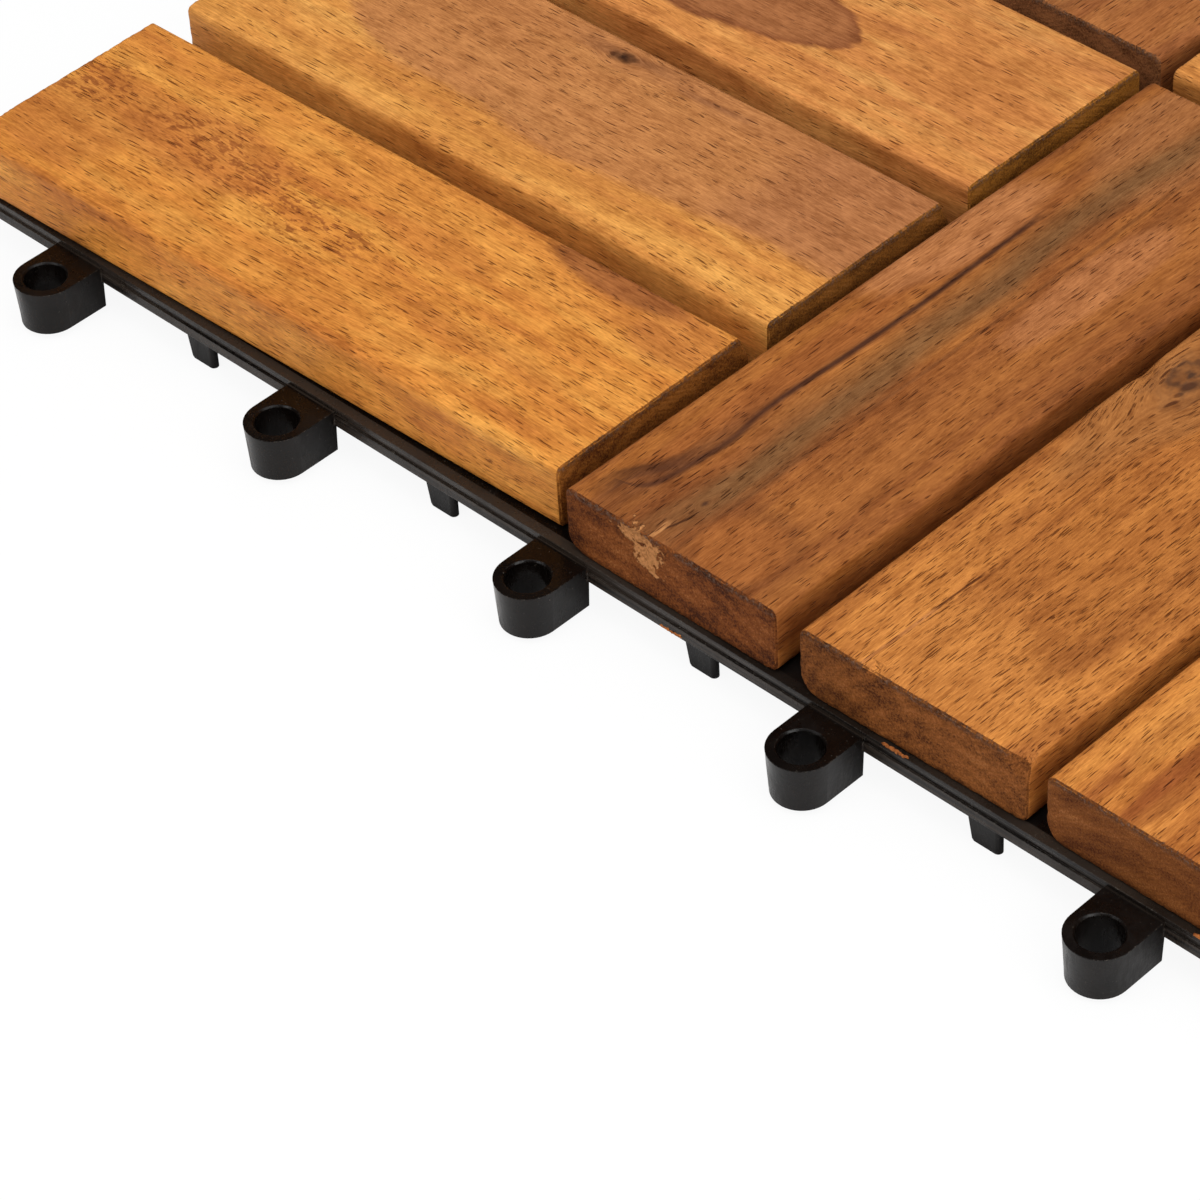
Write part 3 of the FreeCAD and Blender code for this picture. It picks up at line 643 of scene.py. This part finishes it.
    # relief in millimetres: pores sink, fibres stand, the sawn end is coarse
    relief = add("Math MULTIPLY", [pores, wood["poreRelief"]])
    endRelief = add("Math MULTIPLY_ADD", [saw, wood["sawRelief"], speckle])
    endRelief = add("Math MULTIPLY", [endRelief, endMask])
    rawRelief = add("Math MULTIPLY", [rawMask, raw])
    puttyRelief = add("Math MULTIPLY", [putty, raw])
    layers = (fibre, fleck, mottle, endRelief, rawRelief, puttyRelief)
    relief = addLayers(add, layers, wood["reliefs"], relief)
    bump = add("Bump", {"Strength": wood["bump"], "Distance": mm, "Height": relief})
    shader = add("BsdfPrincipled", {"Base Color": colour, "Roughness": rough, "Normal": bump,
                                    "Specular IOR Level": wood["specular"]})
    add("OutputMaterial", [shader])
    return material


# The slat that has these values, in its place
def buildSlat(add, given):
    half = add("CombineXYZ", [given["length"], given["width"], given["thickness"]])
    half = add("VectorMath SCALE", {0: half, "Scale": 0.5})
    halfX, _, halfZ = add("SeparateXYZ", [half]).node.outputs
    block = add("MeshCube", {"Size": (2.0, 2.0, 2.0), "Vertices X": given["cellsAlong"],
                             "Vertices Y": given["cellsAcross"], "Vertices Z": given["cellsUp"]})
    unitX, unitY, unitZ = add("SeparateXYZ", [add("InputPosition")]).node.outputs

    # more cells near the two ends, where the edges are worn
    inner = add("Math ABSOLUTE", [unitX])
    inner = add("Math SUBTRACT", [1.0, inner])
    inner = add("Math MAXIMUM", [inner, 0.0])
    inner = add("Math POWER", [inner, slatWear["crowding"]])
    outer = add("Math SUBTRACT", [1.0, inner])
    sign = add("Math SIGN", [unitX])
    spread = add("Math MULTIPLY", [outer, sign])
    full = add("CombineXYZ", [spread, unitY, unitZ])
    full = add("VectorMath MULTIPLY", [full, half])

    # the round of the nearest long edge
    isLeft = add("Compare GREATER_THAN", [unitY, 0.0])
    isTop = add("Compare GREATER_THAN", [unitZ, 0.0])
    rounds = [add("Switch", [isLeft, given["round%sRight" % level], given["round%sLeft" % level]],
                  input_type="FLOAT") for level in ("Lower", "Top")]
    edgeRound = add("Switch", [isTop, *rounds], input_type="FLOAT")
    core = add("CombineXYZ", {1: edgeRound, 2: edgeRound})
    core = add("VectorMath SUBTRACT", [half, core])
    lowCore = add("VectorMath SCALE", {0: core, "Scale": -1.0})
    nearest = add("VectorMath MINIMUM", [full, core])
    nearest = add("VectorMath MAXIMUM", [nearest, lowCore])
    outward = add("VectorMath SUBTRACT", [full, nearest])
    reach = add("VectorMath LENGTH", [outward], 1)
    most = add("Math DIVIDE", [edgeRound, reach])
    most = add("Math MINIMUM", [most, 1.0])
    outward = add("VectorMath SCALE", {0: outward, "Scale": most})
    rounded = add("VectorMath ADD", [nearest, outward])

    # the broken edge round each end: the section shrinks over its last part
    x, _, z = add("SeparateXYZ", [rounded]).node.outputs
    toEnd = add("Math ABSOLUTE", [x])
    toEnd = add("Math SUBTRACT", [halfX, toEnd])
    inset = add("MapRange", [toEnd, 0.0, given["endBreak"], given["endBreak"], 0.0], **smooth)
    wearPlace = add("VectorMath MULTIPLY", [rounded, (slatWear["noise"],) * 3])
    wearNoise = add("TexNoise",
                    {"Vector": wearPlace, "W": given["seed"], "Scale": 1.0, "Detail": slatWear["detail"],
                     "Roughness": slatWear["roughness"]}, noise_dimensions="4D")
    wearAmount = add("MapRange", [wearNoise, *slatWear["worn"]])
    wearAmount = add("Math MULTIPLY", [wearAmount, given["wear"]])
    nearEnd = add("MapRange", [toEnd, 0.0, slatWear["reach"], 1.0, 0.0], **smooth)
    wearInset = add("Math MULTIPLY", [nearEnd, wearAmount])
    inset = add("Math ADD", [inset, wearInset])
    slantFoot = add("Math SUBTRACT", [halfZ, given["slantDepth"]])
    slant = add("MapRange", [z, slantFoot, halfZ, 0.0, given["slantWidth"]])
    slant = add("Math MULTIPLY", [slant, isLeft])
    shrink = add("CombineXYZ", {1: add("Math ADD", [inset, slant]), 2: inset})
    shrink = add("VectorMath DIVIDE", [shrink, half])
    shrink = add("VectorMath SUBTRACT", [(1.0, 1.0, 1.0), shrink])
    shaped = add("VectorMath MULTIPLY", [rounded, shrink])

    # the sawn face is a little uneven
    faceNoise = add("MapRange", [wearNoise, *slatWear["uneven"], 0.0, slatWear["faceSink"]])
    faceSink = add("Math MULTIPLY", [faceNoise, nearEnd])
    faceSink = add("Math MULTIPLY", [faceSink, sign])
    faceSink = add("CombineXYZ", [faceSink])
    shaped = add("VectorMath SUBTRACT", [shaped, faceSink])

    for index in (1, 2, 3):
        place, radius, depth = [given["chip%s%d" % (part, index)] for part in ("Place", "Radius", "Depth")]
        chipReach = add("VectorMath DISTANCE", [shaped, place], 1)
        chipReach = add("Math MULTIPLY_ADD", [wearNoise, slatWear["chipUneven"], chipReach])
        chipRim = add("Math ADD", [radius, slatWear["chipRim"]])
        sink = add("MapRange", [chipReach, 0.0, chipRim, depth, 0.0], **smooth)
        inwards = add("VectorMath NORMALIZE", [shaped])
        inwards = add("VectorMath MULTIPLY_ADD", [inwards, slatWear["chipSlide"], slatWear["chipDrop"]])
        inwards = add("VectorMath SCALE", {0: inwards, "Scale": sink})
        shaped = add("VectorMath SUBTRACT", [shaped, inwards])

    moved = add("SetPosition", {"Geometry": block, "Position": shaped})
    turnVector = add("CombineXYZ", {2: given["turn"]})
    moved = add("Transform", {"Geometry": moved, "Rotation": turnVector})
    moved = add("Transform", {"Geometry": moved, "Translation": given["place"]})
    return add("SetShadeSmooth", [moved])


def makeSlats():
    tree = None
    for name, looks in slatLooks.items():
        values = {**slatForm, "seed": looks["seed"], **looks.get("form", {})}
        values["place"], values["turn"] = slatPlace(name, looks["turn"])
        chips = (looks.get("chips", []) + [noChip] * 3)[:3]
        for index, chip in enumerate(chips, 1):
            labels = ["chip%s%d" % (part, index) for part in ("Place", "Radius", "Depth")]
            values.update(zip(labels, chip))
        values["material"] = makeWood(name, values, looks)
        tree = tree or makeTree("slatForm", values, buildSlat)
        piece = meshFromTree("wood_" + name, tree, values)
        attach(piece, "root")
        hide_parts(name)


makeSlats()
print("slats made")


# Black polypropylene, injection moulded: satin, slightly brown in thin light,
# with fine mould grain, faint flow lines, and pale nicks along its edges that are partly painted
# highlights.
plastic = {
    # worn: the pale grey of nicks on the edges, partly painted highlights
    "dark": "#080504", "light": "#130D09", "worn": "#5A544C", "rimStreak": "#362D26",
    "specular": 0.21, "ior": 1.49, "roughness": (0.46, 0.13), "bump": 0.9, "edgeNickAndGlint": 0.16, "nicksAndGlints": 0.7,
    "dragShare": 0.4,
    # noise scales, in features to the metre, and the relief of the last three
    "flow": (130.0, 130.0, 60.0), "drag": (1300.0, 1300.0, 420.0), "speck": 1500.0, "cloud": 160.0,
    "reliefs": (0.03, 0.025, 0.10),
    # between which values each mask fades
    "stops": (0.35, 0.75), "streakRange": (0.40, 0.60), "edgeTurn": (0.98, 0.85), "nickGlintRange": (0.66, 0.76),
    "flowRange": (0.55, 0.85),
    # millimetres from here on: the size of the streaks' lines and where the rim lies
    "streakLines": (60.0, 60.0, 0.5), "rimInner": (146.5, 146.6), "rimOuter": (148.7, 148.9),
    "rimFoot": (6.8, 6.9), "edgeRound": 0.22,
}


def makePlastic():
    material, add = newMaterial("polypropyleneMoulded")
    place = add("TexCoord", output="Object")
    cloud = add("TexNoise", {"Vector": place, "Scale": plastic["cloud"], "Detail": 5.0, "Roughness": 0.6})
    upright = add("VectorMath MULTIPLY", [place, plastic["drag"]])
    drag = add("TexNoise", {"Vector": upright, "Scale": 1.0, "Detail": 3.0, "Roughness": 0.6})
    speck = add("TexNoise", {"Vector": place, "Scale": plastic["speck"], "Detail": 3.0, "Roughness": 0.7})
    colour = setRamp(add("ValToRGB", [cloud]), plastic["stops"], (plastic["dark"], plastic["light"]))

    # lighter brown streaks on the rim's upper part, in thin lines along it
    x, y, z = add("SeparateXYZ", [place]).node.outputs
    outward = add("Math MAXIMUM", [add("Math ABSOLUTE", [side]) for side in (x, y)])
    lines = grainNoise(add, place, [length * mm for length in plastic["streakLines"]], 3.0, 4.0)
    streaky = add("MapRange", [lines, *plastic["streakRange"], 0.08, 1.0], **smooth)
    for reach, edge, shares in ((outward, "rimInner", (0.0, 1.0)), (outward, "rimOuter", (1.0, 0.0)),
                                (z, "rimFoot", (0.0, 0.85))):
        near, far = [length * mm for length in plastic[edge]]
        share = add("MapRange", [reach, near, far, *shares], **smooth)
        streaky = add("Math MULTIPLY", [streaky, share])
    colour = add("Mix", {0: streaky, 6: colour, 7: plastic["rimStreak"]}, 2, **blend)
    # pale specks, most along the edges: partly nicks, partly painted highlights for the glints of the
    # rounded edges
    edge = add("Bevel", {"Radius": plastic["edgeRound"] * mm}, samples=6)
    plain = add("NewGeometry", output="Normal")
    flat = add("VectorMath DOT_PRODUCT", [edge, plain], 1)
    edgeNickAndGlint = add("MapRange", [flat, *plastic["edgeTurn"], 0.0, plastic["edgeNickAndGlint"]])
    edgeNickAndGlint = add("Math ADD", [edgeNickAndGlint, speck])
    nickAndGlint = add("MapRange", [edgeNickAndGlint, *plastic["nickGlintRange"], 0.0, plastic["nicksAndGlints"]])
    colour = add("Mix", {0: nickAndGlint, 6: colour, 7: plastic["worn"]}, 2, **blend)
    flow = add("VectorMath MULTIPLY", [place, plastic["flow"]])
    flow = add("TexNoise", {"Vector": flow, "Scale": 1.0, "Detail": 3.0, "Roughness": 0.6})
    flow = add("Math MULTIPLY_ADD", [drag, plastic["dragShare"], flow])
    rough = add("MapRange", [flow, *plastic["flowRange"], *plastic["roughness"]])
    height = addLayers(add, (drag, speck, cloud), plastic["reliefs"])
    bump = add("Bump", {"Strength": plastic["bump"], "Distance": mm, "Height": height, "Normal": edge})
    shader = add("BsdfPrincipled", {"Base Color": colour, "Roughness": rough, "IOR": plastic["ior"],
                                    "Specular IOR Level": plastic["specular"], "Normal": bump})
    add("OutputMaterial", [shader])
    return material


polypropylene = makePlastic()
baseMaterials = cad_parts["base_grid"].data.materials
baseMaterials.clear()
baseMaterials.append(polypropylene)
print("base dressed")


# Zinc plated steel, pressed: greyish with a faint yellow cast
zinc = {"scale": 700.0, "stops": (0.3, 0.7), "colours": ("#8D8A80", "#B8B4A6"), "roughness": (0.28, 0.45)}


def makeZinc():
    material, add = newMaterial("zincPlatedSteelPressed")
    place = add("TexCoord", output="Object")
    cloud = add("TexNoise", {"Vector": place, "Scale": zinc["scale"], "Detail": 4.0})
    colour = setRamp(add("ValToRGB", [cloud]), zinc["stops"], zinc["colours"])
    rough = add("MapRange", [cloud, 0.0, 1.0, *zinc["roughness"]])
    shader = add("BsdfPrincipled", {"Base Color": colour, "Metallic": 1.0, "Roughness": rough})
    add("OutputMaterial", [shader])
    return material


# Screws seen from below: round pan heads with a cross recess, each on its shank,
# laid out by the tile's own rule: three slats to a group and two screws to a slat.
screws = {
    "headRadius": 3.15, "headHeight": 2.0, "headTop": 5.0, "shankRadius": 1.7, "shankTop": 20.3,
    "recessLength": 3.6, "recessWidth": 0.8, "recessDepth": 1.2,
    "groupPitch": 150.0, "slatPitch": 50.0, "screwPitch": 100.0, "seed": 5, "turnRange": 6.28,
    "headLimit": (99.0, 99.0, 0.0),  # presses the ball's upper half flat
}


# All screws in their places
def buildScrews(add, given):
    # the head
    head = add("MeshUVSphere", {"Segments": 32, "Rings": 16, "Radius": 1.0})
    size = add("CombineXYZ", [given["headRadius"], given["headRadius"], given["headHeight"]])
    place = add("VectorMath MULTIPLY", [add("InputPosition"), size])
    place = add("VectorMath MINIMUM", [place, given["headLimit"]])
    head = add("SetPosition", {"Geometry": head, "Position": place})
    bars = []
    cut = add("Math MULTIPLY", [given["recessDepth"], 2.0])
    low = add("Math MULTIPLY", [given["headHeight"], -1.0])
    low = add("CombineXYZ", {2: low})
    for turn in (0.0, math.pi / 2):
        barSize = add("CombineXYZ", [given["recessLength"], given["recessWidth"], cut])
        bar = add("MeshCube", {"Size": barSize})
        bars.append(add("Transform", {"Geometry": bar, "Translation": low, "Rotation": (0.0, 0.0, turn)}))
    bars = add("JoinGeometry", [bars])
    head = add("MeshBoolean DIFFERENCE", {0: head, 1: bars, "Self Intersection": True}, solver="EXACT")
    headPlace = add("CombineXYZ", {2: given["headTop"]})
    head = add("Transform", {"Geometry": head, "Translation": headPlace})

    shankLength = add("Math SUBTRACT", [given["shankTop"], given["headTop"]])
    shank = add("MeshCylinder", {"Vertices": 16, "Radius": given["shankRadius"], "Depth": shankLength})
    middle = add("Math ADD", [given["shankTop"], given["headTop"]])
    middle = add("Math MULTIPLY", [middle, 0.5])
    middle = add("CombineXYZ", {2: middle})
    shank = add("Transform", {"Geometry": shank, "Translation": middle})
    whole = add("JoinGeometry", [[head, shank]])

    # one grid of places to each group, turned with its slats
    places = []
    halfPitch = add("Math MULTIPLY", [given["groupPitch"], 0.5])
    corner = add("CombineXYZ", [halfPitch, halfPitch])
    across = add("Math MULTIPLY", [given["slatPitch"], 2.0])
    for sideX, sideY in ((-1, -1), (1, -1), (-1, 1), (1, 1)):
        grid = add("MeshGrid",
                   {"Size X": given["screwPitch"], "Size Y": across, "Vertices X": 2, "Vertices Y": 3})
        where = add("VectorMath MULTIPLY", [corner, (sideX, sideY, 0.0)])
        turn = 0.0 if sideX == sideY else math.pi / 2
        places.append(add("Transform",
                          {"Geometry": grid, "Translation": where, "Rotation": (0.0, 0.0, turn)}))
    places = add("JoinGeometry", [places])
    turned = add("RandomValue", {2: 0.0, 3: given["turnRange"], "Seed": given["seed"]}, 1)
    turned = add("CombineXYZ", {2: turned})
    return add("InstanceOnPoints", {"Points": places, "Instance": whole, "Rotation": turned})


def makeScrews():
    values = {**screws, "material": makeZinc()}
    piece = meshFromTree("panHeadScrews", makeTree("screwLayout", values, buildScrews), values)
    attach(piece, "root")
    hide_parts("slat_screws")


makeScrews()
print("screws made")


# Crumbs of torn wood caught under the slats' ends, on the rim and below it
crumbs = {
    # middle of each little heap in millimetres, how far it reaches, count
    "heaps": [((24.0, -148.5, 7.25), (2.2, 0.08, 0.16), 60), ((72.0, -148.45, 11.1), (2.3, 0.12, 0.14), 60),
              ((132.6, -148.45, 11.1), (1.8, 0.12, 0.12), 40)],
    "size": (0.9, 0.4, 0.34), "growth": (0.4, 1.1), "turn": (0.3, 0.5, 0.4), "seed": 11,
    "lumpScale": 2.5, "lumpDepth": (0.5, 0.5, 0.5),
}


# One heap: unevenly round crumbs, each turned and sized at random
def buildCrumbs(add, given):
    low = add("VectorMath SUBTRACT", [given["place"], given["reach"]])
    high = add("VectorMath ADD", [given["place"], given["reach"]])
    where = add("RandomValue", {0: low, 1: high, "Seed": given["seed"]}, data_type="FLOAT_VECTOR")
    points = add("Points", {"Count": given["count"], "Position": where})
    crumb = add("MeshIcoSphere", {"Radius": 0.5, "Subdivisions": 2})
    uneven = add("TexNoise", {"Scale": crumbs["lumpScale"], "Detail": 2.0}, 1)
    place = add("VectorMath MULTIPLY_ADD", [uneven, crumbs["lumpDepth"], add("InputPosition")])
    crumb = add("SetPosition", {"Geometry": crumb, "Position": place})
    back = tuple(-angle for angle in crumbs["turn"])
    turn = add("RandomValue", {0: back, 1: crumbs["turn"], "Seed": given["seed"]}, data_type="FLOAT_VECTOR")
    small, large = crumbs["growth"]
    grow = add("RandomValue", {2: small, 3: large, "Seed": given["seed"]}, 1)
    size = add("VectorMath SCALE", {0: given["size"], "Scale": grow})
    return add("InstanceOnPoints", {"Points": points, "Instance": crumb, "Rotation": turn, "Scale": size})


# Raw acacia, torn: dry and orange brown, with pale broken fibres
tornWood = {"scale": 1200.0, "stops": (0.35, 0.65), "colours": ("#7E4420", "#B46E3A")}


def makeTornWood():
    material, add = newMaterial("rawAcaciaTorn")
    place = add("TexCoord", output="Object")
    cloud = add("TexNoise", {"Vector": place, "Scale": tornWood["scale"], "Detail": 3.0})
    colour = setRamp(add("ValToRGB", [cloud]), tornWood["stops"], tornWood["colours"])
    shader = add("BsdfPrincipled", {"Base Color": colour, "Roughness": 0.9, "Specular IOR Level": 0.1})
    add("OutputMaterial", [shader])
    return material


def makeCrumbs():
    tree, material = None, makeTornWood()
    for index, (place, reach, count) in enumerate(crumbs["heaps"]):
        values = {"place": place, "reach": reach, "count": count, "size": crumbs["size"],
                  "seed": crumbs["seed"] + index, "material": material}
        tree = tree or makeTree("crumbHeap", values, buildCrumbs)
        piece = meshFromTree("crumbs_%d" % (index + 1), tree, values)
        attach(piece, "root")


makeCrumbs()
print("crumbs made")


def addSoftBox(name, place, target, size, power):
    data = bpy.data.lights.new(name, "AREA")
    data.shape = "RECTANGLE"
    data.size, data.size_y = size
    data.energy = power
    lamp = addObject(name, data)
    away = Vector(place) - Vector(target)
    lamp.matrix_world = Matrix.Translation(place) @ away.to_track_quat("Z", "Y").to_matrix().to_4x4()


def makeStage():
    reach = studio["floorReach"]
    mesh = bpy.data.meshes.new("floor")
    mesh.from_pydata([(x * reach, y * reach, 0) for x, y in ((-1, -1), (1, -1), (1, 1), (-1, 1))],
                     [], [(0, 1, 2, 3)])
    floor = addObject("floor", mesh)
    material, add = newMaterial("paperBackdropMatt")
    matt = add("BsdfPrincipled",
               {"Base Color": studio["floorColour"], "Roughness": 0.9, "Specular IOR Level": 0.1})
    white = add("Emission", {"Color": (1, 1, 1, 1), "Strength": 1.0})
    share = add("Math MULTIPLY", [add("LightPath", output="Is Camera Ray"), studio["floorLift"]])
    seen = add("MixShader", [share, matt, white])

    # the floor lets a camera below it see the underside
    behind = add("NewGeometry", output="Backfacing")
    seen = add("MixShader", [behind, seen, add("BsdfTransparent")])
    add("OutputMaterial", [seen])
    mesh.materials.append(material)

    world = bpy.data.worlds.new("studio")
    bpy.context.scene.world = world
    world.use_nodes = True
    world.node_tree.nodes.clear()
    add = partial(addNode, world.node_tree)
    rays = add("LightPath").node.outputs
    strength = add("Math MULTIPLY_ADD",
                   [rays["Is Glossy Ray"], studio["worldInGloss"] - studio["world"], studio["world"]])
    strength = add("Math MAXIMUM", [rays["Is Camera Ray"], strength])
    background = add("Background", {"Color": (1, 1, 1, 1), "Strength": strength})
    add("OutputWorld", [background])
    for name, box in studio["softBoxes"].items():
        addSoftBox(name, *box)


makeStage()
bpy.context.scene.view_settings.view_transform = "Standard"
print("stage and light made")
